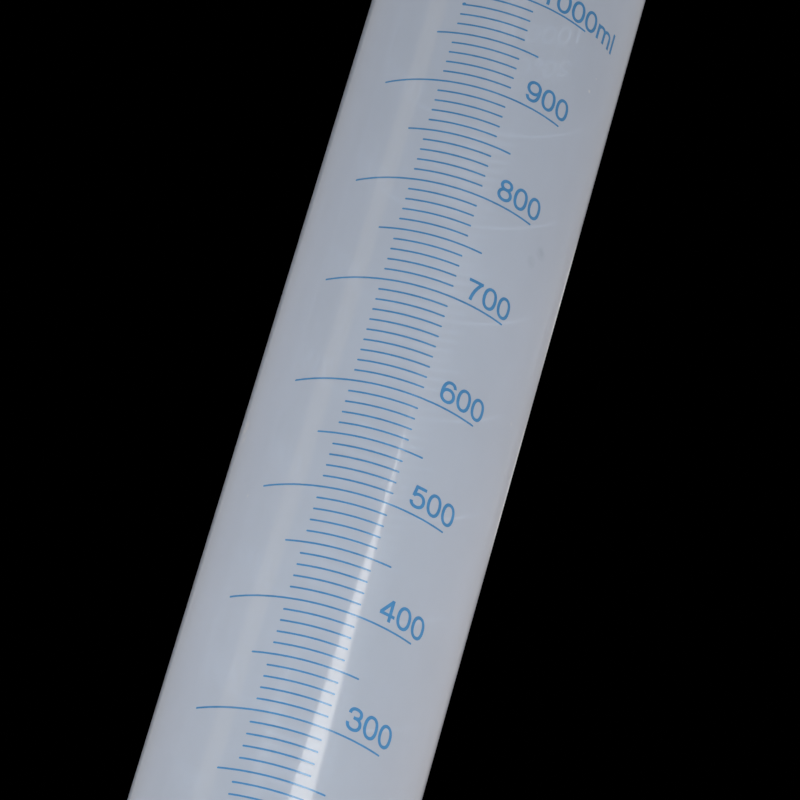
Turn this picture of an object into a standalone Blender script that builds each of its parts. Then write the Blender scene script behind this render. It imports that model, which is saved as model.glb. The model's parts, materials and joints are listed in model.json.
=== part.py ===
"""One litre graduated cylinder in translucent polypropylene.

The barrel stands in a separate hexagonal foot that it snaps into.  The scale
is printed on the outside of the barrel.  Metres, +Z up; the origin is the
centre of the foot on the table, and the printed scale faces -Y.
"""
import math

import bmesh
import bpy
from mathutils import Vector

# ---- driving dimensions (metres, radians) ---------------------------------
Z_500 = 0.1720            # height of the 500 ml mark above the table
R_500 = 0.0342            # outer radius of the barrel at that mark
DRAFT = 0.00224           # growth of the radius per unit of height
WALL = 0.0020             # barrel wall
BARREL_BASE_Z = 0.0118    # underside of the barrel
BARREL_FLOOR_Z = 0.0142   # inside bottom of the barrel
RIM_Z = 0.3880            # top of the pouring rim
SPOUT_START_Z = 0.3500    # where the wall starts to lean out into the spout
SPOUT_REACH = 0.0135      # how far the lip is pulled out
SPOUT_HALF_ANGLE = 0.62   # half the width of the spout, seen from above
SPOUT_RISE = 0.0012       # the lip's tip stands slightly above the rim
BARREL_SEGMENTS = 72

FOOT_FLATS = 0.1320       # hexagon, across flats
FOOT_CORNER_R = 0.0150    # rounding of the hexagon's corners
FOOT_SKIRT_H = 0.0075     # height of the straight edge of the foot
FOOT_WALL = 0.0024
COLLAR_TOP_Z = 0.0380     # top of the ring that holds the barrel
COLLAR_WALL = 0.0026
FIT_GAP = 0.0003          # between the barrel and its seat in the foot
LEDGE_HOLE_R = 0.0240     # opening under the barrel
RIB_COUNT = 12
RIB_THICK = 0.0018

INK_GAP = 0.00003         # underside of the ink above the wall
INK_THICK = 0.00008
LINE_W = 0.00052          # printed line width
HALF_ANGLE_LONG = 0.721   # half of the arc that a 100 ml line covers
HALF_ANGLE_MID = 0.398    # half of the arc that a 50 ml line covers

# heights of the marks over the 500 ml mark, from 100 ml to 1000 ml
MARK_Z = {
    100: -0.12560, 150: -0.10985, 200: -0.09406, 250: -0.07796,
    300: -0.06188, 350: -0.04657, 400: -0.03126, 450: -0.01563,
    500: 0.0, 550: 0.01526, 600: 0.03052, 700: 0.06028, 750: 0.07533,
    800: 0.09038, 850: 0.10550, 900: 0.12063, 950: 0.13554, 1000: 0.15045,
}


def clear_scene():
    for ob in list(bpy.data.objects):
        bpy.data.objects.remove(ob, do_unlink=True)


def material(name, colour, roughness, metallic=0.0, alpha=1.0):
    mat = bpy.data.materials.new(name)
    mat.use_nodes = True
    shader = mat.node_tree.nodes["Principled BSDF"]
    shader.inputs["Base Color"].default_value = (*colour, 1.0)
    shader.inputs["Roughness"].default_value = roughness
    shader.inputs["Metallic"].default_value = metallic
    shader.inputs["Alpha"].default_value = alpha
    mat.diffuse_color = (*colour, 1.0)
    return mat


def add_object(name, bm, mat, smooth=True):
    bmesh.ops.recalc_face_normals(bm, faces=bm.faces)
    mesh = bpy.data.meshes.new(name)
    bm.to_mesh(mesh)
    bm.free()
    mesh.materials.append(mat)
    for poly in mesh.polygons:
        poly.use_smooth = smooth
    ob = bpy.data.objects.new(name, mesh)
    bpy.context.scene.collection.objects.link(ob)
    return ob


def outer_radius(z):
    return R_500 + DRAFT * (z - Z_500)


def smoothstep(t):
    t = min(max(t, 0.0), 1.0)
    return t * t * (3.0 - 2.0 * t)


def spout_shift(angle, z):
    """How far a point of the wall moves out (-X) and up for the spout."""
    off = math.pi - abs(math.atan2(math.sin(angle), math.cos(angle)))
    if off >= SPOUT_HALF_ANGLE or z <= SPOUT_START_Z:
        return 0.0, 0.0
    across = math.cos(0.5 * math.pi * off / SPOUT_HALF_ANGLE) ** 2
    along = ((z - SPOUT_START_Z) / (RIM_Z - SPOUT_START_Z))
    lean = max(along, 0.0) ** 1.8
    return SPOUT_REACH * across * lean, SPOUT_RISE * across * smoothstep(along)


def lathe(rings, segments, place):
    """Skin a list of (value, z) rings, closing both ends with a centre point."""
    bm = bmesh.new()
    loops = []
    for r, z in rings:
        loops.append([
            bm.verts.new(place(r, z, 2.0 * math.pi * i / segments))
            for i in range(segments)
        ])
    for low, high in zip(loops, loops[1:]):
        for i in range(segments):
            j = (i + 1) % segments
            bm.faces.new((low[i], low[j], high[j], high[i]))
    return bm, loops


def make_barrel(mat):
    """Moulded tube: closed bottom, snap bead, slight draft, rim and spout."""
    profile = [
        # outside, from the bottom up: inset from the outer radius, height
        (-0.0075, BARREL_BASE_Z), (-0.0028, BARREL_BASE_Z + 0.0008),
        (-0.0006, BARREL_BASE_Z + 0.0028), (0.0, BARREL_BASE_Z + 0.0055),
        (0.0, 0.0212), (0.0007, 0.0222), (0.0007, 0.0234), (0.0, 0.0244),
        (0.0, 0.1950), (0.0, SPOUT_START_Z), (0.0, 0.3590), (0.0, 0.3670),
        (0.0, 0.3740), (0.0, 0.3794),
        (0.0010, 0.3812), (0.0021, 0.3827), (0.0025, 0.3848),
        (0.0020, 0.3869), (0.0006, RIM_Z), (-0.0010, 0.3877),
        # inside, back down
        (-WALL, 0.3858), (-WALL, 0.3794), (-WALL, 0.3740), (-WALL, 0.3670),
        (-WALL, 0.3590), (-WALL, SPOUT_START_Z), (-WALL, 0.1950),
        (-WALL, 0.0240), (-WALL - 0.0010, 0.0192), (-WALL - 0.0042, 0.0158),
        (-WALL - 0.0098, BARREL_FLOOR_Z),
    ]

    def place(inset, z, angle):
        r = outer_radius(z) + inset
        out, up = spout_shift(angle, z)
        return Vector((r * math.cos(angle) - out, r * math.sin(angle), z + up))

    bm, loops = lathe(profile, BARREL_SEGMENTS, place)
    for loop, z in ((loops[0], BARREL_BASE_Z), (loops[-1], BARREL_FLOOR_Z)):
        centre = bm.verts.new((0.0, 0.0, z))
        for i in range(BARREL_SEGMENTS):
            bm.faces.new((loop[i], loop[(i + 1) % BARREL_SEGMENTS], centre))
    return add_object("barrel", bm, mat)


def hexagon(angle, flats, corner):
    """Distance from the centre to a hexagon with rounded corners.

    Corners lie on +X and -X, so two of the flats face +Y and -Y.
    """
    sector = math.pi / 3.0
    half = 0.5 * flats
    a = abs((angle + sector / 2.0) % sector - sector / 2.0)   # 0 at a corner
    apex = half / math.cos(sector / 2.0)
    centre = apex - corner / math.cos(sector / 2.0)
    tangent = math.atan2(corner * math.sin(sector / 2.0),
                         centre + corner * math.cos(sector / 2.0))
    if a < tangent:
        return centre * math.cos(a) + math.sqrt(
            corner ** 2 - (centre * math.sin(a)) ** 2)
    return half / math.cos(sector / 2.0 - a)


def foot_angles():
    """Angles round the foot, closer together at the hexagon's corners."""
    half_sector = [0.0, 2.1, 4.2, 6.3, 11.5, 17.5, 23.7, 30.0]
    whole = half_sector + [60.0 - a for a in half_sector[-2:0:-1]]
    return [math.radians(60.0 * k + a) for k in range(6) for a in whole]


def make_foot(mat):
    """Hollow hexagonal foot: socket ring for the barrel, ribs underneath."""
    def seat(z):
        return outer_radius(z) + FIT_GAP

    half = 0.5 * FOOT_FLATS
    top = FOOT_SKIRT_H
    flare = [(0.0, 0.0290, 0.0399), (0.10, 0.0226, 0.0424),
             (0.30, 0.0174, 0.0480), (0.62, 0.0128, 0.0575)]
    # ring: (blend to hexagon, size, height); size is a radius where the
    # blend is 0 and half the distance across flats where it is 1
    rings = []
    # socket, from the ledge up to the mouth of the collar
    rings.append((0.0, LEDGE_HOLE_R, 0.0080))
    rings.append((0.0, LEDGE_HOLE_R, BARREL_BASE_Z - FIT_GAP))
    rings.append((0.0, seat(0.012) - 0.0070, BARREL_BASE_Z - FIT_GAP))
    rings.append((0.0, seat(0.012) - 0.0020, BARREL_BASE_Z + 0.0002))
    rings.append((0.0, seat(0.012), BARREL_BASE_Z + 0.0026))
    rings.append((0.0, seat(0.020), 0.0209))
    rings.append((0.0, seat(0.022) + 0.0007, 0.0220))
    rings.append((0.0, seat(0.024) + 0.0007, 0.0236))
    rings.append((0.0, seat(0.025), 0.0247))
    rings.append((0.0, seat(0.036), COLLAR_TOP_Z - 0.0012))
    rings.append((0.0, seat(0.038) + 0.0008, COLLAR_TOP_Z))
    # outside of the collar and the flare down to the hexagon's edge
    rings.append((0.0, seat(0.038) + COLLAR_WALL - 0.0007, COLLAR_TOP_Z))
    rings.append((0.0, seat(0.036) + COLLAR_WALL, COLLAR_TOP_Z - 0.0010))
    rings += [(b, r, z) for b, z, r in flare]
    rings.append((1.0, half - 0.0020, top + 0.0014))
    rings.append((1.0, half - 0.0005, top + 0.0004))
    rings.append((1.0, half, top - 0.0010))
    rings.append((1.0, half + 0.0004, 0.0006))
    rings.append((1.0, half, 0.0))
    # underside
    rings.append((1.0, half - FOOT_WALL + 0.0004, 0.0))
    rings.append((1.0, half - FOOT_WALL, 0.0008))
    rings.append((1.0, half - FOOT_WALL - 0.0002, top - 0.0022))
    rings.append((0.62, 0.0564, 0.0100))
    rings.append((0.30, 0.0466, 0.0145))
    rings.append((0.10, 0.0403, 0.0194))
    rings.append((0.0, 0.0374, 0.0194))
    rings.append((0.0, 0.0366, 0.0100))
    rings.append((0.0, 0.0355, 0.0080))

    bm = bmesh.new()
    loops = []
    angles = foot_angles()
    for blend, size, z in rings:
        loop = []
        for a in angles:
            corner = max(FOOT_CORNER_R - (half - size), 0.0025)
            r = (1.0 - blend) * size + blend * hexagon(a, 2.0 * size, corner)
            loop.append(bm.verts.new((r * math.cos(a), r * math.sin(a), z)))
        loops.append(loop)
    for k, low in enumerate(loops):
        high = loops[(k + 1) % len(loops)]
        for i in range(len(angles)):
            j = (i + 1) % len(angles)
            bm.faces.new((low[i], low[j], high[j], high[i]))
    foot = add_object("foot", bm, mat)

    # stiffening ribs between the socket and the skirt
    ribs = bmesh.new()
    for k in range(RIB_COUNT):
        a = 2.0 * math.pi * (k + 0.5) / RIB_COUNT + math.pi / RIB_COUNT
        along = Vector((math.cos(a), math.sin(a), 0.0))
        across = Vector((-math.sin(a), math.cos(a), 0.0)) * (0.5 * RIB_THICK)
        reach = hexagon(a, FOOT_FLATS - 2.0 * FOOT_WALL, 0.0126) + 0.0010
        outline = [
            (0.0364, 0.0092), (reach, 0.0010), (reach, 0.0068),
            (0.0580, 0.0110), (0.0480, 0.0158), (0.0418, 0.0206),
            (0.0382, 0.0206),
        ]
        sides = []
        for sign in (-1.0, 1.0):
            sides.append([
                ribs.verts.new(along * r + across * sign + Vector((0, 0, z)))
                for r, z in outline
            ])
        n = len(outline)
        ribs.faces.new(sides[0])
        ribs.faces.new(list(reversed(sides[1])))
        for i in range(n):
            j = (i + 1) % n
            ribs.faces.new((sides[0][j], sides[0][i], sides[1][i], sides[1][j]))
    cutter = add_object("foot_ribs_tool", ribs, mat, smooth=False)
    join = foot.modifiers.new("ribs", "BOOLEAN")
    join.operation = "UNION"
    join.solver = "EXACT"
    join.object = cutter
    cutter.hide_render = True
    cutter.display_type = "WIRE"
    return foot


def make_mark(name, z_mark, half_angle, mat, segments):
    """A printed line: a thin band of ink that follows the wall."""
    bm = bmesh.new()
    corners = []
    for i in range(segments + 1):
        a = -0.5 * math.pi - half_angle + 2.0 * half_angle * i / segments
        # the printed line's ends are slightly rounded
        w = LINE_W * (0.62 if i in (0, segments) else 1.0)
        ring = []
        for dr, dz in ((INK_GAP, -0.5), (INK_GAP + INK_THICK, -0.5),
                       (INK_GAP + INK_THICK, 0.5), (INK_GAP, 0.5)):
            z = Z_500 + z_mark + dz * w
            r = outer_radius(z) + dr
            ring.append(bm.verts.new((r * math.cos(a), r * math.sin(a), z)))
        corners.append(ring)
    for low, high in zip(corners, corners[1:]):
        for i in range(4):
            j = (i + 1) % 4
            bm.faces.new((low[i], low[j], high[j], high[i]))
    bm.faces.new(list(reversed(corners[0])))
    bm.faces.new(corners[-1])
    return add_object(name, bm, mat, smooth=False)


def main():
    clear_scene()
    body = material("polypropylene_barrel", (0.62, 0.66, 0.70), 0.42, alpha=0.85)
    base = material("polypropylene_foot", (0.56, 0.61, 0.66), 0.45)
    ink = material("blue_ink", (0.045, 0.22, 0.47), 0.5)

    root = bpy.data.objects.new("graduated_cylinder", None)
    bpy.context.scene.collection.objects.link(root)
    parts = [make_barrel(body), make_foot(base)]
    for volume, z in MARK_Z.items():
        long_line = volume % 100 == 0
        parts.append(make_mark(
            "mark_%04d_ml" % volume, z,
            HALF_ANGLE_LONG if long_line else HALF_ANGLE_MID,
            ink, 24 if long_line else 14,
        ))
    for part in parts:
        part.parent = root


main()
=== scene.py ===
"""Looks of the one litre graduated cylinder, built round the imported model."""
import json
import math

import bmesh
import bpy
import numpy as np
from mathutils import Matrix, Vector
from mathutils.geometry import delaunay_2d_cdt

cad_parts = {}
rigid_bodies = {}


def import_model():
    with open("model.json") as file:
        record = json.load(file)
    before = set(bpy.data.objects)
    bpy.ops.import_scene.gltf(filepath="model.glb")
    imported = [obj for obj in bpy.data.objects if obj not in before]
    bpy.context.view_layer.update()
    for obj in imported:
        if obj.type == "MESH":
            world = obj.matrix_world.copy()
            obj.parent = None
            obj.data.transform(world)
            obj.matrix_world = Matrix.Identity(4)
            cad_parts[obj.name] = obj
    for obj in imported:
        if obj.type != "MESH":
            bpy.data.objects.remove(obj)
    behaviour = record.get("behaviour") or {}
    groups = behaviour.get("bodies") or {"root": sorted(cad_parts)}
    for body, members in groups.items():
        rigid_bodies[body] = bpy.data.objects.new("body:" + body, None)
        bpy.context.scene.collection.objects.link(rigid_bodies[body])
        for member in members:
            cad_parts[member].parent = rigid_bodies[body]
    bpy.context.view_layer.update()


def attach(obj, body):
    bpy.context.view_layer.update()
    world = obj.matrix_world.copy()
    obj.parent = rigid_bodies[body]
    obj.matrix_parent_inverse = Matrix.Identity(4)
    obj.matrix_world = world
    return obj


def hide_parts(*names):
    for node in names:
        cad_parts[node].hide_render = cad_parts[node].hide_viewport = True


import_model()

MM = 0.001

# ---------------------------------------------------------------------------
# sizes shared with the CAD model (millimetres, radians)
# ---------------------------------------------------------------------------
Z_500 = 172.0
R_500 = 34.2
DRAFT = 0.00224
WALL = 2.0
BASE_Z = 11.8
FLOOR_Z = 14.2
RIM_Z = 388.0
SPOUT_START = 350.0
SPOUT_REACH = 13.5
SPOUT_HALF = 0.62
SPOUT_RISE = 1.2
FRONT = -0.5 * math.pi          # the printed scale faces -Y
BACK = 0.5 * math.pi

MARK_Z = {
    100: -125.60, 150: -109.85, 200: -94.06, 250: -77.96,
    300: -61.88, 350: -46.57, 400: -31.26, 450: -15.63,
    500: 0.0, 550: 15.26, 600: 30.52, 700: 60.28, 750: 75.33,
    800: 90.38, 850: 105.50, 900: 120.63, 950: 135.54, 1000: 150.45,
}
LONG_HALF, MID_HALF, MINOR_HALF = 0.721, 0.398, 0.2615


def radius(z):
    """Outer radius of the barrel at a height, in millimetres."""
    return R_500 + DRAFT * (z - Z_500)


def mark_height(volume):
    """Height of any mark over the 500 ml mark, between the measured ones."""
    low = max(v for v in (100, 200, 300, 400, 500, 600, 700, 800, 900, 1000)
              if v <= volume)
    if low == volume:
        return MARK_Z[volume]
    high = low + 100
    t = (volume - low) / 100.0
    return MARK_Z[low] * (1 - t) + MARK_Z[high] * t


# ---------------------------------------------------------------------------
# small tools
# ---------------------------------------------------------------------------
def link(name, verts, faces, mats, smooth=True, sharp_deg=None, material_index=None):
    mesh = bpy.data.meshes.new(name)
    mesh.from_pydata([tuple(v) for v in verts], [], [tuple(f) for f in faces])
    for m in mats:
        mesh.materials.append(m)
    if material_index is not None:
        mesh.polygons.foreach_set("material_index", material_index)
    bm = bmesh.new()
    bm.from_mesh(mesh)
    bmesh.ops.recalc_face_normals(bm, faces=bm.faces)
    for f in bm.faces:
        f.smooth = smooth
    if sharp_deg is not None:
        limit = math.radians(sharp_deg)
        for e in bm.edges:
            if len(e.link_faces) == 2 and e.calc_face_angle(0.0) > limit:
                e.smooth = False
    bm.to_mesh(mesh)
    bm.free()
    mesh.update()
    ob = bpy.data.objects.new(name, mesh)
    bpy.context.scene.collection.objects.link(ob)
    return ob


def on_wall(s, z, off, centre=FRONT, mirror=False):
    """A point s mm round the wall from a centre line, at height z, off mm out."""
    a = centre + (s if not mirror else -s) / R_500
    r = radius(z) + off
    return (r * math.cos(a) * MM, r * math.sin(a) * MM, z * MM)


class Film:
    """Flat outlines wrapped on the barrel as closed solids."""

    def __init__(self, bottom, top, centre=FRONT):
        self.bottom, self.top, self.centre = bottom, top, centre
        self.verts, self.faces = [], []

    def add(self, points, triangles):
        base = len(self.verts)
        n = len(points)
        for s, z in points:
            self.verts.append(on_wall(s, z, self.bottom, self.centre))
        for s, z in points:
            self.verts.append(on_wall(s, z, self.top, self.centre))
        edges = {}
        for t in triangles:
            self.faces.append(tuple(base + n + i for i in t))
            self.faces.append(tuple(base + i for i in reversed(t)))
            for k in range(len(t)):
                a, b = t[k], t[(k + 1) % len(t)]
                if (b, a) in edges:
                    del edges[(b, a)]
                else:
                    edges[(a, b)] = True
        for a, b in edges:
            self.faces.append((base + a, base + b, base + n + b, base + n + a))

    def make(self, name, mats):
        return link(name, self.verts, self.faces, mats, smooth=False)


def wobble(x, seed):
    """Small smooth unevenness of a printed edge, between -1 and 1."""
    return (0.5 * math.sin(x * 1.7 + seed * 12.9898)
            + 0.3 * math.sin(x * 4.3 + seed * 78.233)
            + 0.2 * math.sin(x * 9.1 + seed * 37.719))


def line_outline(s0, s1, z, width, seed, step=0.8, uneven=0.018):
    """A printed line with rounded ends, as a strip of quads."""
    half = 0.5 * width
    n = max(8, int(round((s1 - s0) / step)))
    cap = [(half * (1 - math.cos(a)), half * math.sin(a))
           for a in (0.45, 0.85, 1.2, math.pi / 2)]
    xs = [(s0 + dx, h) for dx, h in cap]
    xs += [(s0 + half + (s1 - s0 - width) * i / n, half) for i in range(1, n)]
    xs += [(s1 - dx, h) for dx, h in reversed(cap)]
    points, quads = [], []
    for i, (s, h) in enumerate(xs):
        up = uneven * wobble(s, seed)
        down = uneven * wobble(s + 3.3, seed + 0.37)
        points.append((s, z - h + down))
        points.append((s, z + h + up))
    points.append((s0, z))
    points.append((s1, z))
    for i in range(len(xs) - 1):
        quads.append((2 * i, 2 * i + 2, 2 * i + 3, 2 * i + 1))
    last = len(xs) - 1
    quads.append((2 * len(xs), 0, 1))
    quads.append((2 * last, 2 * len(xs) + 1, 2 * last + 1))
    return points, quads


# ---------------------------------------------------------------------------
# plain sans-serif numerals, drawn as strokes (1000 units to the em)
# ---------------------------------------------------------------------------
def bezier(p0, p1, p2, p3, n=12):
    out = []
    for i in range(n + 1):
        t = i / n
        u = 1 - t
        out.append((
            u ** 3 * p0[0] + 3 * u * u * t * p1[0] + 3 * u * t * t * p2[0] + t ** 3 * p3[0],
            u ** 3 * p0[1] + 3 * u * u * t * p1[1] + 3 * u * t * t * p2[1] + t ** 3 * p3[1],
        ))
    return out


def curve(start, *segments):
    out = [start]
    for seg in segments:
        if len(seg) == 1:
            a, b = out[-1], seg[0]
            n = max(1, int(math.hypot(b[0] - a[0], b[1] - a[1]) / 70))
            out += [(a[0] + (b[0] - a[0]) * i / n, a[1] + (b[1] - a[1]) * i / n)
                    for i in range(1, n + 1)]
        else:
            out += bezier(out[-1], *seg)[1:]
    return out


def oval(cx, cy, rx, ry, power=2.0, n=44):
    out = []
    for i in range(n):
        a = 2 * math.pi * i / n
        c, s = math.cos(a), math.sin(a)
        out.append((cx + rx * math.copysign(abs(c) ** (2 / power), c),
                    cy + ry * math.copysign(abs(s) ** (2 / power), s)))
    return out


def turned(path, cx=278.0, cy=342.0):
    return [(2 * cx - x, 2 * cy - y) for x, y in path]


SIX = [
    ("open", curve((461, 520), ((446, 615), (385, 664), (297, 664)),
                   ((150, 664), (80, 520), (80, 315)), ((80, 275), (81, 250), (84, 224)))),
    ("loop", oval(281, 222, 199, 201, 2.08)),
]
GLYPHS = {
    "0": (556, [("loop", oval(278, 342, 199, 322, 2.25))]),
    "1": (556, [("open", curve((315, 0), ((315, 703),))),
                ("open", curve((104, 530), ((210, 532), (280, 575), (300, 692))))]),
    "2": (556, [("open", curve((83, 462), ((84, 590), (152, 663), (270, 663)),
                               ((388, 663), (463, 592), (463, 492)),
                               ((463, 398), (400, 350), (312, 294)),
                               ((200, 222), (98, 170), (78, 42)))),
                ("open", curve((42, 41), ((505, 41),)))]),
    "3": (556, [("open", curve((82, 488), ((84, 602), (152, 664), (262, 664)),
                               ((372, 664), (444, 608), (444, 522)),
                               ((444, 432), (384, 388), (290, 384)), ((222, 384),))),
                ("open", curve((262, 384), ((400, 386), (479, 325), (479, 212)),
                               ((479, 96), (396, 20), (272, 20)),
                               ((152, 20), (78, 88), (76, 208))))]),
    "4": (556, [("open", curve((370, 0), ((370, 700),))),
                ("open", curve((27, 208), ((523, 208),))),
                ("open", curve((56, 214), ((372, 664),)))]),
    "5": (556, [("open", curve((480, 648), ((126, 648),))),
                ("open", curve((164, 686), ((112, 336),))),
                ("open", curve((104, 345), ((158, 408), (212, 434), (282, 434)),
                               ((402, 434), (472, 346), (472, 228)),
                               ((472, 100), (386, 20), (262, 20)),
                               ((152, 20), (82, 78), (74, 178))))]),
    "6": (556, SIX),
    "7": (556, [("open", curve((38, 647), ((520, 647),))),
                ("open", curve((492, 668), ((352, 505), (238, 290), (214, 0))))]),
    "8": (556, [("loop", oval(278, 521, 163, 144, 2.05)),
                ("loop", oval(278, 200, 199, 180, 2.08))]),
    "9": (556, [(kind, turned(path)) for kind, path in SIX]),
    "m": (833, [("open", curve((108, 0), ((108, 524),))),
                ("open", curve((108, 330), ((108, 440), (176, 499), (262, 499)),
                               ((352, 499), (417, 462), (417, 360)), ((417, 0),))),
                ("open", curve((417, 330), ((417, 440), (486, 499), (572, 499)),
                               ((662, 499), (727, 462), (727, 360)), ((727, 0),)))]),
    "l": (222, [("open", curve((111, 0), ((111, 718),)))]),
    "C": (722, [("open", curve((668, 486), ((640, 600), (540, 680), (388, 680)),
                               ((200, 680), (90, 545), (90, 356)),
                               ((90, 165), (205, 34), (380, 34)),
                               ((545, 34), (650, 130), (670, 268))))]),
    "\u00b0": (400, [("loop", oval(200, 560, 128, 128, 2.0, 24))]),
    " ": (278, []),
}


def stroke_quads(path, closed, half):
    """The quads that a pen of constant width covers along a path."""
    n = len(path)
    sides = []
    for i, (x, y) in enumerate(path):
        if closed:
            a, b = path[(i - 1) % n], path[(i + 1) % n]
        else:
            a, b = path[max(i - 1, 0)], path[min(i + 1, n - 1)]
        dx, dy = b[0] - a[0], b[1] - a[1]
        d = math.hypot(dx, dy) or 1.0
        nx, ny = -dy / d * half, dx / d * half
        sides.append(((x + nx, y + ny), (x - nx, y - ny)))
    quads = []
    for i in range(n if closed else n - 1):
        j = (i + 1) % n
        quads.append([sides[i][1], sides[j][1], sides[j][0], sides[i][0]])
    return quads


def area2(poly):
    return sum(poly[i][0] * poly[(i + 1) % len(poly)][1]
               - poly[(i + 1) % len(poly)][0] * poly[i][1] for i in range(len(poly)))


def merged(quads):
    """Union of overlapping quads as points and triangles."""
    coords, faces = [], []
    for q in quads:
        if area2(q) < 0:
            q = q[::-1]
        faces.append(list(range(len(coords), len(coords) + len(q))))
        coords += [Vector(p) for p in q]
    verts, _, tris, _, _, origin = delaunay_2d_cdt(coords, [], faces, 0, 1e-4, True)
    keep = [t for t, o in zip(tris, origin) if o]
    used = sorted({i for t in keep for i in t})
    index = {old: new for new, old in enumerate(used)}
    points = [(verts[i].x, verts[i].y) for i in used]
    out = []
    for t in keep:
        t = tuple(index[i] for i in t)
        if area2([points[i] for i in t]) < 0:
            t = t[::-1]
        out.append(t)
    return points, out


def write_text(film, text, s, z, em, stroke=100.0, squeeze=1.0):
    """Sets a line of numerals with its left origin at s and its baseline at z."""
    pen = 0.0
    for ch in text:
        advance, strokes = GLYPHS[ch]
        quads = []
        for kind, path in strokes:
            quads += stroke_quads(path, kind == "loop", 0.5 * stroke)
        if quads:
            points, tris = merged(quads)
            film.add([(s + (pen + x) * em / 1000.0 * squeeze, z + y * em / 1000.0)
                      for x, y in points], tris)
        pen += advance
    return pen * em / 1000.0 * squeeze


# ---------------------------------------------------------------------------
# materials
# ---------------------------------------------------------------------------
class Nodes:
    def __init__(self, name):
        self.mat = bpy.data.materials.new(name)
        self.mat.use_nodes = True
        self.tree = self.mat.node_tree
        self.tree.nodes.clear()
        self.out = self.tree.nodes.new("ShaderNodeOutputMaterial")

    def add(self, kind, **values):
        node = self.tree.nodes.new(kind)
        for key, value in values.items():
            if hasattr(node, key):
                setattr(node, key, value)
        return node

    def join(self, a, b):
        self.tree.links.new(a, b)


def object_coordinates(n, scale=(1000.0, 1000.0, 1000.0)):
    """Object coordinates in millimetres."""
    coord = n.add("ShaderNodeTexCoord")
    mapping = n.add("ShaderNodeMapping")
    mapping.inputs["Scale"].default_value = scale
    n.join(coord.outputs["Object"], mapping.inputs["Vector"])
    return mapping.outputs["Vector"]


def noise(n, vector, scale, detail=3.0, rough=0.55):
    tex = n.add("ShaderNodeTexNoise")
    tex.inputs["Scale"].default_value = scale
    tex.inputs["Detail"].default_value = detail
    tex.inputs["Roughness"].default_value = rough
    n.join(vector, tex.inputs["Vector"])
    return tex.outputs["Fac"]


def spread(n, value, low, high, out_low, out_high):
    m = n.add("ShaderNodeMapRange")
    m.inputs["From Min"].default_value = low
    m.inputs["From Max"].default_value = high
    m.inputs["To Min"].default_value = out_low
    m.inputs["To Max"].default_value = out_high
    n.join(value, m.inputs["Value"])
    return m.outputs["Result"]


def ramp(n, value, stops):
    r = n.add("ShaderNodeValToRGB")
    r.color_ramp.elements[0].position = stops[0][0]
    r.color_ramp.elements[0].color = (*stops[0][1], 1)
    r.color_ramp.elements[1].position = stops[-1][0]
    r.color_ramp.elements[1].color = (*stops[-1][1], 1)
    for pos, col in stops[1:-1]:
        e = r.color_ramp.elements.new(pos)
        e.color = (*col, 1)
    n.join(value, r.inputs["Fac"])
    return r.outputs["Color"]


def spot(n, colour, place, size, shade, amount):
    """Tints a surface round one point; place in metres, size in millimetres."""
    coord = n.add("ShaderNodeTexCoord")
    uneven = noise(n, object_coordinates(n), 0.9, 2.0, 0.5)
    away = n.add("ShaderNodeVectorMath", operation="DISTANCE")
    n.join(coord.outputs["Object"], away.inputs[0])
    away.inputs[1].default_value = place
    near = spread(n, away.outputs["Value"], 0.35 * size * MM, size * MM, amount, 0.0)
    strength = n.add("ShaderNodeMath", operation="MULTIPLY")
    n.join(near, strength.inputs[0])
    n.join(spread(n, uneven, 0.35, 0.65, 0.6, 1.2), strength.inputs[1])
    mix = n.add("ShaderNodeMix", data_type="RGBA")
    n.join(strength.outputs[0], mix.inputs[0])
    n.join(colour, mix.inputs[6])
    mix.inputs[7].default_value = (*shade, 1)
    return mix.outputs[2]


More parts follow.
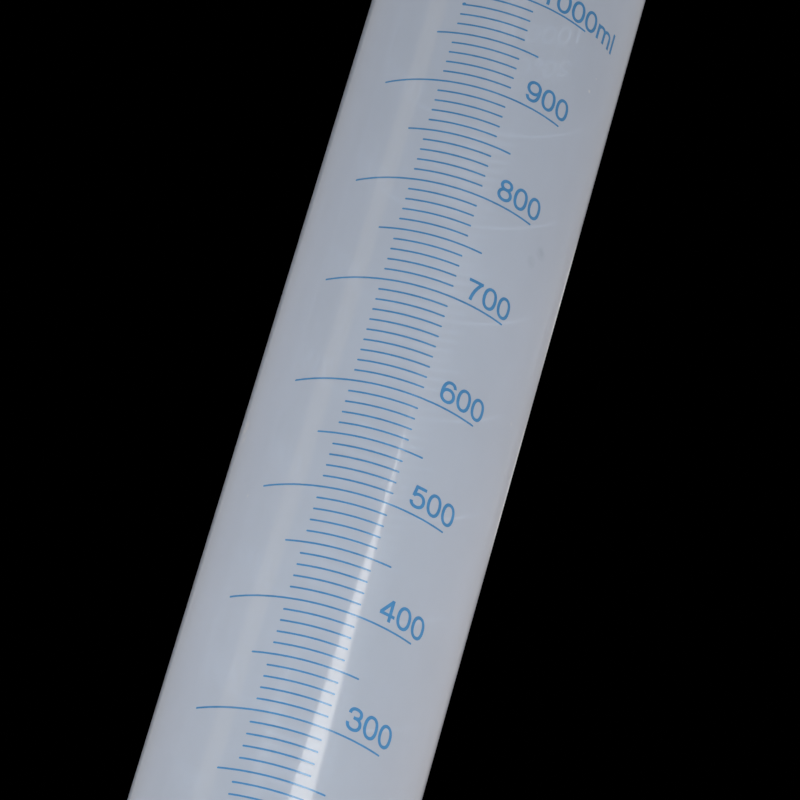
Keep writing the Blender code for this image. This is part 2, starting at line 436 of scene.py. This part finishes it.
def polypropylene(name, see_through, colour, gloss_rough, coat, back_light=0.5,
                  striation=0.10, haze=0.35, edge_gloss=0.85, spots=()):
    """Translucent moulded plastic: part scatters, part passes straight on."""
    n = Nodes(name)
    # fine rings left by turning the mould core, much longer round than up
    rings = noise(n, object_coordinates(n, (22.0, 22.0, 2600.0)), 1.0, 4.0, 0.6)
    cloud = noise(n, object_coordinates(n, (30.0, 30.0, 14.0)), 1.0, 4.0, 0.6)
    grain = noise(n, object_coordinates(n), 1.6, 2.0, 0.5)
    scuff = noise(n, object_coordinates(n, (260.0, 260.0, 900.0)), 1.0, 5.0, 0.7)

    dark = tuple(c * 0.955 for c in colour)
    light = tuple(min(c * 1.035, 1.0) for c in colour)
    tone = ramp(n, cloud, [(0.30, dark), (0.52, colour), (0.72, light)])
    for place, size, shade, amount in spots:
        tone = spot(n, tone, place, size, shade, amount)

    bump = n.add("ShaderNodeBump")
    bump.inputs["Strength"].default_value = striation
    bump.inputs["Distance"].default_value = 0.00002
    n.join(rings, bump.inputs["Height"])
    bump2 = n.add("ShaderNodeBump")
    bump2.inputs["Strength"].default_value = 0.10
    bump2.inputs["Distance"].default_value = 0.00002
    n.join(grain, bump2.inputs["Height"])
    n.join(bump.outputs["Normal"], bump2.inputs["Normal"])

    diffuse = n.add("ShaderNodeBsdfDiffuse")
    n.join(tone, diffuse.inputs["Color"])
    n.join(bump2.outputs["Normal"], diffuse.inputs["Normal"])
    through = n.add("ShaderNodeBsdfTranslucent")
    n.join(tone, through.inputs["Color"])
    scatter = n.add("ShaderNodeMixShader")
    scatter.inputs["Fac"].default_value = back_light
    n.join(diffuse.outputs[0], scatter.inputs[1])
    n.join(through.outputs[0], scatter.inputs[2])

    clear = n.add("ShaderNodeBsdfTransparent")
    clear.inputs["Color"].default_value = (0.93, 0.96, 0.985, 1)
    body = n.add("ShaderNodeMixShader")
    body.inputs["Fac"].default_value = see_through
    n.join(scatter.outputs[0], body.inputs[1])
    n.join(clear.outputs[0], body.inputs[2])

    gloss = n.add("ShaderNodeBsdfAnisotropic")
    gloss.inputs["Color"].default_value = (1, 1, 1, 1)
    n.join(spread(n, scuff, 0.35, 0.75, gloss_rough * 0.8, gloss_rough * 1.35),
           gloss.inputs["Roughness"])
    n.join(bump2.outputs["Normal"], gloss.inputs["Normal"])
    soft = n.add("ShaderNodeBsdfAnisotropic")
    soft.inputs["Color"].default_value = (1, 1, 1, 1)
    soft.inputs["Roughness"].default_value = 0.30
    n.join(bump2.outputs["Normal"], soft.inputs["Normal"])
    lobes = n.add("ShaderNodeMixShader")
    lobes.inputs["Fac"].default_value = haze
    n.join(gloss.outputs[0], lobes.inputs[1])
    n.join(soft.outputs[0], lobes.inputs[2])
    # a thin wall's gloss is the same from both sides of its surface
    facing = n.add("ShaderNodeLayerWeight")
    facing.inputs["Blend"].default_value = 0.5
    n.join(bump2.outputs["Normal"], facing.inputs["Normal"])
    power = n.add("ShaderNodeMath", operation="POWER")
    n.join(facing.outputs["Facing"], power.inputs[0])
    power.inputs[1].default_value = 5.0
    straight = ((coat - 1.0) / (coat + 1.0)) ** 2
    top = n.add("ShaderNodeMixShader")
    n.join(spread(n, power.outputs[0], 0.0, 1.0, straight, edge_gloss), top.inputs["Fac"])
    n.join(body.outputs[0], top.inputs[1])
    n.join(lobes.outputs[0], top.inputs[2])
    n.join(top.outputs[0], n.out.inputs["Surface"])
    return n.mat


def printed_ink(name):
    """Screen-printed blue: thin, slightly uneven, half matt."""
    n = Nodes(name)
    patch = noise(n, object_coordinates(n), 0.35, 4.0, 0.6)
    speck = noise(n, object_coordinates(n), 3.2, 2.0, 0.5)
    shader = n.add("ShaderNodeBsdfPrincipled")
    tone = ramp(n, patch, [(0.30, (0.052, 0.215, 0.465)),
                           (0.52, (0.062, 0.240, 0.510)),
                           (0.74, (0.075, 0.268, 0.555))])
    n.join(tone, shader.inputs["Base Color"])
    n.join(spread(n, speck, 0.3, 0.7, 0.10, 0.20), shader.inputs["Roughness"])
    bump = n.add("ShaderNodeBump")
    bump.inputs["Strength"].default_value = 0.2
    bump.inputs["Distance"].default_value = 0.00002
    n.join(speck, bump.inputs["Height"])
    n.join(bump.outputs["Normal"], shader.inputs["Normal"])
    n.join(shader.outputs[0], n.out.inputs["Surface"])
    return n.mat


PP_COLOUR = (0.795, 0.85, 0.965)
DARKER_SPOT_TONE, SPECK = (0.42, 0.46, 0.55), (1.0, 1.0, 1.0)


def seen_at(s, dz):
    """A point of the wall, s mm round from the side that faces the camera."""
    a = FRONT + 0.066 + s / R_500
    r = radius(Z_500 + dz)
    return (r * math.cos(a) * MM, r * math.sin(a) * MM, (Z_500 + dz) * MM)


# two small soft darker spots, a few pale scuffs and specks
SPOTS = [
    (seen_at(28.7, 85.7), 2.2, DARKER_SPOT_TONE, 0.22), (seen_at(26.0, 81.5), 2.0, DARKER_SPOT_TONE, 0.17),
    (seen_at(29.6, 136.6), 0.6, SPECK, 1.0), (seen_at(31.0, 141.5), 0.4, SPECK, 0.6),
    (seen_at(-43.9, 21.6), 2.4, SPECK, 0.8), (seen_at(-42.6, 17.5), 1.5, SPECK, 0.5),
    (seen_at(-31.5, -2.0), 0.6, SPECK, 0.5), (seen_at(36.5, 40.0), 0.7, SPECK, 0.4),
    (seen_at(60.0, 30.0), 1.8, SPECK, 0.5), (seen_at(-75.0, 120.0), 1.6, DARKER_SPOT_TONE, 0.25),
]
mat_outer = polypropylene("barrel_polypropylene", 0.40, PP_COLOUR, 0.07, 1.49, 0.45, 0.10, 0.30,
                          spots=SPOTS)
mat_inner = polypropylene("barrel_inside_polypropylene", 0.85, PP_COLOUR, 0.12, 1.25, 0.5, 0.10, 0.5)
mat_foot = polypropylene("foot_polypropylene", 0.16, (0.76, 0.82, 0.90), 0.20, 1.49, 0.40, 0.05, 0.5)
# the raised marks get a paler tone than the wall: a painted highlight standing in for the light their
# edges bend towards the eye
mat_relief_painted_highlight = polypropylene("relief_polypropylene_painted_highlight", 0.02, (0.93, 0.955, 0.98), 0.16, 1.49, 0.5, 0.03, 0.5)
mat_ink = printed_ink("blue_ink")


# ---------------------------------------------------------------------------
# barrel
# ---------------------------------------------------------------------------
def smoothstep(t):
    t = min(max(t, 0.0), 1.0)
    return t * t * (3.0 - 2.0 * t)


def spout_shift(angle, z):
    off = math.pi - abs(math.atan2(math.sin(angle), math.cos(angle)))
    if off >= SPOUT_HALF or z <= SPOUT_START:
        return 0.0, 0.0
    across = math.cos(0.5 * math.pi * off / SPOUT_HALF) ** 2
    along = (z - SPOUT_START) / (RIM_Z - SPOUT_START)
    return SPOUT_REACH * across * along ** 1.8, SPOUT_RISE * across * smoothstep(along)


def fillet(points, steps=5):
    """Rounds the corners of a profile. points: (x, z, corner radius)."""
    out = []
    for i, (x, z, rad) in enumerate(points):
        if rad <= 0 or i in (0, len(points) - 1):
            out.append((x, z))
            continue
        p, a, b = Vector((x, z)), Vector(points[i - 1][:2]), Vector(points[i + 1][:2])
        u, v = (a - p).normalized(), (b - p).normalized()
        half = 0.5 * u.angle(v)
        cut = min(rad / math.tan(half), 0.49 * (a - p).length, 0.49 * (b - p).length)
        start, end = p + u * cut, p + v * cut
        for k in range(steps + 1):
            t = k / steps
            q = start * (1 - t) ** 2 + p * 2 * t * (1 - t) + end * t * t
            out.append((q.x, q.y))
    return out


def spaced(points, gap):
    """Adds points so that no step along the profile is longer than gap."""
    out = [points[0]]
    for (x0, z0), (x1, z1) in zip(points, points[1:]):
        n = max(1, int(math.ceil(math.hypot(x1 - x0, z1 - z0) / gap)))
        for k in range(1, n + 1):
            out.append((x0 + (x1 - x0) * k / n, z0 + (z1 - z0) * k / n))
    return out


def make_barrel():
    segments = 288
    # insets from the outer radius, height, corner radius
    outside = fillet([
        (-8.5, BASE_Z, 0), (-4.6, BASE_Z, 0.0), (0.0, BASE_Z, 6.2), (0.0, 21.0, 0),
        (0.0, 21.2, 0.4), (0.7, 22.2, 0.5), (0.7, 23.4, 0.5), (0.0, 24.4, 0.4),
        (0.0, 30.0, 0), (0.0, SPOUT_START, 0), (0.0, 380.2, 1.2),
        (2.5, 382.6, 1.6), (2.5, 386.4, 1.8), (1.4, RIM_Z, 1.2),
        (-0.6, RIM_Z, 1.0),
    ], 6)
    inside = fillet([
        (-0.6, RIM_Z, 0), (-WALL, 386.2, 1.4), (-WALL, 378.0, 0),
        (-WALL, SPOUT_START, 0), (-WALL, 26.0, 0),
        (-WALL, FLOOR_Z, 9.0), (-13.5, FLOOR_Z, 0),
    ], 8)
    outside = spaced(outside, 12.0)
    inside = spaced(inside, 12.0)
    # closer rings where the spout bends
    def finer(rows):
        out = [rows[0]]
        for (x0, z0), (x1, z1) in zip(rows, rows[1:]):
            n = 1
            if max(z0, z1) > SPOUT_START - 1 and abs(z1 - z0) > 1.6:
                n = int(math.ceil(abs(z1 - z0) / 1.6))
            for k in range(1, n + 1):
                out.append((x0 + (x1 - x0) * k / n, z0 + (z1 - z0) * k / n))
        return out
    outside, inside = finer(outside), finer(inside)
    rows = outside + inside[1:]
    split = len(outside) - 1
    verts, faces, index = [], [], []
    for x, z in rows:
        for i in range(segments):
            a = 2 * math.pi * i / segments
            r = radius(z) + x
            out, up = spout_shift(a, z)
            verts.append(((r * math.cos(a) - out) * MM, r * math.sin(a) * MM, (z + up) * MM))
    for k in range(len(rows) - 1):
        for i in range(segments):
            j = (i + 1) % segments
            faces.append((k * segments + i, k * segments + j,
                          (k + 1) * segments + j, (k + 1) * segments + i))
            index.append(0 if k < split else 1)
    # bottom discs, with rings so that they shade evenly
    for start, z, slot, sign in ((0, BASE_Z, 0, 1), ((len(rows) - 1) * segments, FLOOR_Z, 1, -1)):
        r_edge = math.hypot(verts[start][0], verts[start][1]) / MM
        previous = [start + i for i in range(segments)]
        for frac in (0.66, 0.33, 0.08):
            ring = []
            lift = 0.0 if slot == 0 else 0.15 * (1 - frac)
            for i in range(segments):
                a = 2 * math.pi * i / segments
                ring.append(len(verts))
                verts.append((r_edge * frac * math.cos(a) * MM,
                              r_edge * frac * math.sin(a) * MM, (z + lift) * MM))
            for i in range(segments):
                j = (i + 1) % segments
                faces.append((previous[i], previous[j], ring[j], ring[i]))
                index.append(slot)
            previous = ring
        faces.append(tuple(previous))
        index.append(slot)
    ob = link("barrel_moulding", verts, faces, [mat_outer, mat_inner],
              material_index=index)
    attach(ob, "root")
    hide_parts("barrel")
    return ob


# ---------------------------------------------------------------------------
# foot
# ---------------------------------------------------------------------------
FLATS = 132.0
FOOT_CORNER = 15.0
SKIRT = 7.5
FOOT_WALL = 2.4
COLLAR_TOP = 38.0
COLLAR_WALL = 2.6
GAP = 0.3


def hexagon(angle, flats, corner):
    sector = math.pi / 3.0
    half = 0.5 * flats
    a = abs((angle + sector / 2.0) % sector - sector / 2.0)
    apex = half / math.cos(sector / 2.0)
    centre = apex - corner / math.cos(sector / 2.0)
    tangent = math.atan2(corner * math.sin(sector / 2.0),
                         centre + corner * math.cos(sector / 2.0))
    if a < tangent:
        return centre * math.cos(a) + math.sqrt(
            max(corner ** 2 - (centre * math.sin(a)) ** 2, 0.0))
    return half / math.cos(sector / 2.0 - a)


def hex_blend(size):
    table = ((39.0, 0.0), (40.4, 0.02), (42.4, 0.10), (48.0, 0.30), (57.5, 0.66), (63.5, 1.0))
    if size <= table[0][0]:
        return 0.0
    for (a, fa), (b, fb) in zip(table, table[1:]):
        if size <= b:
            return fa + (fb - fa) * (size - a) / (b - a)
    return 1.0


def make_foot():
    half = 0.5 * FLATS
    seat = lambda z: radius(z) + GAP
    profile = [
        (24.0, 8.0, 0), (24.0, BASE_Z - GAP, 0.5), (seat(12) - 6.0, BASE_Z - GAP, 0),
        (seat(12), BASE_Z - GAP, 5.6), (seat(20), 20.9, 0.3), (seat(22) + 0.7, 22.0, 0.3),
        (seat(24) + 0.7, 23.6, 0.3), (seat(25), 24.7, 0.3),
        (seat(37), COLLAR_TOP, 0.9), (seat(38) + COLLAR_WALL, COLLAR_TOP, 1.0),
        (seat(30) + COLLAR_WALL + 0.1, 27.0, 5.0), (40.6, 22.5, 6.0), (48.0, 17.2, 8.0),
        (57.5, 12.8, 10.0), (half - 0.2, SKIRT + 1.3, 1.4), (half, SKIRT - 1.0, 1.0),
        (half + 0.4, 0.5, 0.3), (half + 0.1, 0.0, 0.25),
        (half - FOOT_WALL + 0.5, 0.0, 0.3), (half - FOOT_WALL, 0.8, 0.3),
        (half - FOOT_WALL - 0.2, SKIRT - 2.0, 1.2), (56.4, 9.9, 8.0), (46.6, 14.4, 6.0),
        (40.3, 19.4, 1.2), (37.4, 19.4, 0.8), (36.6, 10.0, 0.8), (35.5, 8.0, 0.6),
        (24.0, 8.0, 0),
    ]
    rows = spaced(fillet(profile, 6), 2.2)[:-1]
    angles = []
    for k in range(6):
        for a in np.concatenate([np.linspace(0, 7, 8)[:-1], np.linspace(7, 53, 21)[:-1],
                                 np.linspace(53, 60, 8)[:-1]]):
            angles.append(math.radians(60 * k + a))
    n = len(angles)
    verts, faces = [], []
    for size, z in rows:
        b = hex_blend(size)
        corner = min(max(FOOT_CORNER - (half - size), 2.5) + 6.0 * (1 - b), 0.8 * size)
        for a in angles:
            r = (1 - b) * size + b * hexagon(a, 2 * size, corner)
            verts.append((r * math.cos(a) * MM, r * math.sin(a) * MM, z * MM))
    m = len(rows)
    for k in range(m):
        for i in range(n):
            j = (i + 1) % n
            kk = (k + 1) % m
            faces.append((k * n + i, k * n + j, kk * n + j, kk * n + i))
    ob = link("foot_moulding", verts, faces, [mat_foot])

    # radial ribs underneath, joined to the moulding
    rib_verts, rib_faces = [], []
    count, thick = 12, 1.8
    for k in range(count):
        a = 2 * math.pi * (k + 0.5) / count + math.pi / count
        along = Vector((math.cos(a), math.sin(a), 0))
        across = Vector((-math.sin(a), math.cos(a), 0)) * (0.5 * thick)
        reach = hexagon(a, FLATS - 2 * FOOT_WALL, 12.6) + 1.0
        outline = [(36.4, 9.2), (reach, 1.0), (reach, 6.8), (58.0, 11.0),
                   (48.0, 15.8), (41.8, 20.4), (38.2, 20.4)]
        base = len(rib_verts)
        for sign in (-1, 1):
            for r, z in outline:
                p = along * r + across * sign
                rib_verts.append((p.x * MM, p.y * MM, z * MM))
        q = len(outline)
        rib_faces.append(tuple(base + i for i in range(q)))
        rib_faces.append(tuple(base + q + i for i in reversed(range(q))))
        for i in range(q):
            j = (i + 1) % q
            rib_faces.append((base + j, base + i, base + q + i, base + q + j))
    ribs = link("foot_ribs", rib_verts, rib_faces, [mat_foot], smooth=False)
    join = ob.modifiers.new("ribs", "BOOLEAN")
    join.operation = "UNION"
    join.solver = "EXACT"
    join.object = ribs
    bpy.context.view_layer.update()
    mesh = bpy.data.meshes.new_from_object(
        ob.evaluated_get(bpy.context.evaluated_depsgraph_get()))
    ob.modifiers.clear()
    ob.data = mesh
    bpy.data.objects.remove(ribs)
    bm = bmesh.new()
    bm.from_mesh(mesh)
    for f in bm.faces:
        f.smooth = True
    for e in bm.edges:
        if len(e.link_faces) == 2 and e.calc_face_angle(0.0) > math.radians(42):
            e.smooth = False
    bm.to_mesh(mesh)
    bm.free()
    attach(ob, "root")
    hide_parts("foot")
    return ob


# ---------------------------------------------------------------------------
# printed scale
# ---------------------------------------------------------------------------
INK_LOW, INK_TOP = 0.012, 0.050
LINE_W = 0.485

# numeral blocks: left origin and baseline above the mark, both in millimetres
LABELS = {
    1000: (9.35, 0.95, "1000ml"), 900: (12.65, 2.00, "900"), 800: (12.75, 1.80, "800"),
    700: (12.10, 1.45, "700"), 600: (12.95, 1.75, "600"), 500: (13.05, 2.10, "500"),
    400: (13.65, 1.90, "400"), 300: (13.10, 2.35, "300"), 200: (12.90, 1.90, "200"),
    100: (12.80, 1.90, "100"),
}
EM = 8.38


def make_print():
    for volume, dz in MARK_Z.items():
        half = (LONG_HALF if volume % 100 == 0 else MID_HALF) * R_500
        film = Film(INK_LOW, INK_TOP)
        film.add(*line_outline(-half, half, Z_500 + dz, LINE_W, volume * 0.013))
        ob = film.make("print_mark_%04d_ml" % volume, [mat_ink])
        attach(ob, "root")
        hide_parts("mark_%04d_ml" % volume)

    film = Film(INK_LOW, INK_TOP)
    half = MINOR_HALF * R_500
    for volume in range(110, 1000, 10):
        if volume in MARK_Z:
            continue
        z = Z_500 + mark_height(volume)
        film.add(*line_outline(-half, half, z, LINE_W, volume * 0.017))
        if volume == 980:
            # a small bead of ink at the left end of this line
            ring = [(-half + 0.35 + 0.50 * math.cos(a), z + 0.18 + 0.46 * math.sin(a))
                    for a in np.linspace(0, 2 * math.pi, 19)[:-1]]
            film2 = [(-half + 0.35, z + 0.18)] + ring
            tris = [(0, 1 + i, 1 + (i + 1) % 18) for i in range(18)]
            bead = Film(INK_LOW + 0.004, INK_TOP + 0.012)
            bead.add(film2, tris)
            ob = bead.make("print_bead_980_ml", [mat_ink])
            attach(ob, "root")
    ob = film.make("print_lines_10_ml", [mat_ink])
    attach(ob, "root")

    for volume, (s, up, text) in LABELS.items():
        film = Film(INK_LOW, INK_TOP)
        write_text(film, text, s, Z_500 + MARK_Z[volume] + up, EM)
        ob = film.make("print_number_%04d" % volume, [mat_ink])
        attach(ob, "root")


# ---------------------------------------------------------------------------
# raised scale moulded on the back of the wall
# ---------------------------------------------------------------------------
def make_relief():
    film = Film(0.015, 0.26, BACK)
    lift = 1.2
    for volume in range(100, 1001, 10):
        z = Z_500 + mark_height(volume) + lift
        if volume % 100 == 0:
            half, width = 31.5, 0.64
        elif volume % 50 == 0:
            half, width = 13.5, 0.64
        else:
            half, width = 10.0, 0.62
        film.add(*line_outline(-half, half, z, width, 3.0, uneven=0.0))
        if volume % 100 == 0:
            text = str(volume)
            em = 7.0
            wide = len(text) * 0.556 * em
            write_text(film, text, 32.0 - wide, z + 1.5, em, 105.0)
    write_text(film, "1000 ml", -22.0, Z_500 + 182.5, 8.0, 80.0)
    write_text(film, "20\u00b0C", -20.0, Z_500 + 171.5, 7.4, 80.0)
    # parting line of the mould
    rows = [45.0 + 327.0 * i / 60 for i in range(61)]
    points = [(s, z) for z in rows for s in (32.41, 32.59)]
    film.add(points, [(2 * i, 2 * i + 1, 2 * i + 3, 2 * i + 2) for i in range(60)])
    # the paler material of the marks is painted highlight
    ob = film.make("moulded_scale_relief", [mat_relief_painted_highlight])
    # the marks take light from behind without shading the wall they stand on
    ob.visible_shadow = False
    ob.visible_diffuse = False
    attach(ob, "root")
    return ob


barrel = make_barrel()
foot = make_foot()
make_print()
relief = make_relief()


# ---------------------------------------------------------------------------
# camera: the close-up's viewing angle, from below and slightly to the right
# ---------------------------------------------------------------------------
CAM_OUT, CAM_DOWN = 32.56601 * R_500, 16.41075 * R_500
PAN, TILT, ROLL = 0.00169, 0.49965, 0.2841
TURN = 0.066


def place_camera():
    view = Vector((math.sin(PAN) * math.cos(TILT), math.cos(PAN) * math.cos(TILT), math.sin(TILT)))
    right0 = Vector((math.cos(PAN), -math.sin(PAN), 0.0))
    up0 = right0.cross(view)
    right = math.cos(ROLL) * right0 + math.sin(ROLL) * up0
    up = -math.sin(ROLL) * right0 + math.cos(ROLL) * up0
    spin = Matrix.Rotation(TURN, 3, "Z")
    at = spin @ Vector((0.0, -CAM_OUT, -CAM_DOWN)) + Vector((0, 0, Z_500))
    right, up, view = spin @ right, spin @ up, spin @ view
    data = bpy.data.cameras.new("camera")
    data.lens = 5037.2 * 36.0 / 800.0
    data.sensor_width = 36.0
    data.clip_start, data.clip_end = 0.05, 60.0
    cam = bpy.data.objects.new("camera", data)
    rot = Matrix((right, up, -view)).transposed().to_4x4()
    cam.matrix_world = Matrix.Translation(at * MM) @ rot
    bpy.context.scene.collection.objects.link(cam)
    bpy.context.scene.camera = cam
    return cam


camera = place_camera()


# ---------------------------------------------------------------------------
# stage: pale floor, dark card far behind, soft light
# ---------------------------------------------------------------------------
def plane(name, corners, mat):
    mesh = bpy.data.meshes.new(name)
    mesh.from_pydata(corners, [], [tuple(range(len(corners)))])
    mesh.materials.append(mat)
    ob = bpy.data.objects.new(name, mesh)
    bpy.context.scene.collection.objects.link(ob)
    return ob


def stage():
    n = Nodes("floor_paper")
    pale = n.add("ShaderNodeBsdfDiffuse")
    pale.inputs["Color"].default_value = (0.86, 0.86, 0.85, 1)
    clear = n.add("ShaderNodeBsdfTransparent")
    side = n.add("ShaderNodeNewGeometry")
    mix = n.add("ShaderNodeMixShader")
    n.join(side.outputs["Backfacing"], mix.inputs["Fac"])
    n.join(pale.outputs[0], mix.inputs[1])
    n.join(clear.outputs[0], mix.inputs[2])
    n.join(mix.outputs[0], n.out.inputs["Surface"])
    plane("floor", [(-4, -4, 0), (4, -4, 0), (4, 4, 0), (-4, 4, 0)], n.mat)

    n = Nodes("dark_card")
    dark = n.add("ShaderNodeBsdfDiffuse")
    dark.inputs["Color"].default_value = (0, 0, 0, 1)
    n.join(dark.outputs[0], n.out.inputs["Surface"])
    eye = camera.matrix_world.translation
    half = 0.5 * 36.0 / camera.data.lens
    corners = []
    for x, y in ((-3.8, -2.8), (2.8, -2.8), (2.8, 2.8), (-3.8, 2.8)):
        ray = camera.matrix_world.to_3x3() @ Vector((x * half, y * half, -1.0))
        corners.append(tuple(eye + ray * ((3.4 - eye.y) / ray.y)))
    card = plane("dark_card", corners, n.mat)
    card.visible_diffuse = False
    card.visible_shadow = False

    world = bpy.data.worlds.new("world")
    bpy.context.scene.world = world
    world.use_nodes = True
    bg = world.node_tree.nodes["Background"]
    bg.inputs["Color"].default_value = (1.0, 0.98, 0.958, 1)
    bg.inputs["Strength"].default_value = 0.337


def soft_light(name, at, target, size, power, colour=(1, 1, 1), only=None):
    data = bpy.data.lights.new(name, "AREA")
    data.shape = "RECTANGLE"
    data.size, data.size_y = size
    data.energy = power
    data.color = colour
    ob = bpy.data.objects.new(name, data)
    ob.location = at
    ob.rotation_euler = (Vector(target) - Vector(at)).to_track_quat("-Z", "Y").to_euler()
    ob.visible_camera = False
    ob.visible_glossy = False
    bpy.context.scene.collection.objects.link(ob)
    if only is not None:
        ob.light_linking.receiver_collection = only
    return ob


def reflected_card(name, edges, strength, distance=1.6, colour=(1, 1, 1)):
    """A bright card placed where the wall mirrors it into given places.

    edges: height over the 500 ml mark, then the left and right edge of its
    reflection in millimetres round the wall from the side facing the camera.
    """
    eye = camera.matrix_world.translation
    left, right = [], []
    for z, a, b in edges:
        for s, store in ((a, left), (b, right)):
            ang = FRONT + TURN + s / R_500
            r = radius(Z_500 + z)
            p = Vector((r * math.cos(ang), r * math.sin(ang), Z_500 + z)) * MM
            normal = Vector((math.cos(ang), math.sin(ang), 0))
            ray = (p - eye).normalized()
            out = ray - 2 * ray.dot(normal) * normal
            flat = math.hypot(out.x, out.y)
            store.append(p + out * (distance / flat))
    n = Nodes(name)
    glow = n.add("ShaderNodeEmission")
    glow.inputs["Color"].default_value = (*colour, 1)
    glow.inputs["Strength"].default_value = strength
    n.join(glow.outputs[0], n.out.inputs["Surface"])
    verts = [tuple(v) for v in left] + [tuple(v) for v in right]
    k = len(left)
    faces = [(i, i + 1, k + i + 1, k + i) for i in range(k - 1)]
    mesh = bpy.data.meshes.new(name)
    mesh.from_pydata(verts, [], faces)
    mesh.materials.append(n.mat)
    ob = bpy.data.objects.new(name, mesh)
    ob.visible_camera = False
    ob.visible_diffuse = False
    ob.visible_transmission = False
    ob.visible_shadow = False
    bpy.context.scene.collection.objects.link(ob)
    return ob


stage()
# the narrow bright streak, and three faint soft bands
reflected_card("strip_window", [
    (-150, 1.6, 10.4), (-82, 3.05, 8.30), (-65, 3.35, 7.85), (-45, 3.88, 7.12),
    (-25, 4.38, 6.60), (-5, 4.92, 5.86), (5, 5.05, 5.60), (13, 5.18, 5.38),
    (18, 5.25, 5.31)], 8.3, colour=(1.0, 0.968, 0.90))
# the soft glow beside the streak and above its tip
reflected_card("strip_glow", [
    (-150, 3.0, 13.5), (-82, 3.6, 11.4), (-45, 4.2, 10.2), (-5, 4.6, 9.2),
    (25, 4.4, 8.9), (60, 4.3, 8.6), (85, 5.2, 8.4), (100, 6.4, 7.4)], 0.45, 2.1)
reflected_card("band_left", [(-110, -20.2, -15.4), (180, -20.2, -15.4)], 1.15, 1.9, (1.0, 0.84, 0.58))
reflected_card("band_top", [(62, 2.4, 3.2), (90, 0.6, 3.6), (180, -1.0, 5.0)], 0.8, 1.7)
reflected_card("band_low", [(-120, -7.6, -4.0), (-60, -6.6, -5.0), (-40, -6.0, -5.6)], 0.8, 1.8)
# a thin bright line just inside the right-hand outline
reflected_card("rim_right", [(3, 49.10, 49.15), (17, 48.60, 49.75), (41, 48.60, 49.75),
                             (52, 48.95, 49.30), (63, 48.95, 49.40), (73, 48.60, 49.75),
                             (95, 48.60, 49.75), (105, 49.10, 49.20)], 1.7, 2.3)
soft_light("key", (-1.9, -2.3, 1.8), (0, 0, 0.2), (1.8, 1.8), 3.3, (1.0, 0.92, 0.77))
soft_light("back", (1.7, 1.9, 1.2), (0, 0, 0.2), (2.0, 2.0), 12.0, (0.985, 0.98, 0.99))
# three small low lights near the foot brighten the lower part of the barrel;
# they reach the cylinder and not the floor, which stays evenly lit
lit = bpy.data.collections.new("cylinder_only")
for ob in list(bpy.context.scene.objects):
    if ob.type == "MESH" and ob.name.split(".")[0] in (
            "barrel_moulding", "foot_moulding", "moulded_scale_relief") \
            or ob.name.startswith("print_"):
        lit.objects.link(ob)
soft_light("low_front", (0.03, -0.38, 0.06), (0, 0, 0.16), (0.16, 0.10), 0.60, (0.83, 0.96, 0.99),
           only=lit)
soft_light("low_left", (-0.24, -0.28, 0.06), (0, 0, 0.16), (0.16, 0.10), 0.32, (1.0, 0.81, 0.66),
           only=lit)
soft_light("low_right", (0.34, -0.08, 0.06), (0, 0, 0.16), (0.16, 0.10), 0.46, (1.0, 0.775, 0.58),
           only=lit)

view_settings = bpy.context.scene.view_settings
view_settings.view_transform = "Standard"
view_settings.look = "None"
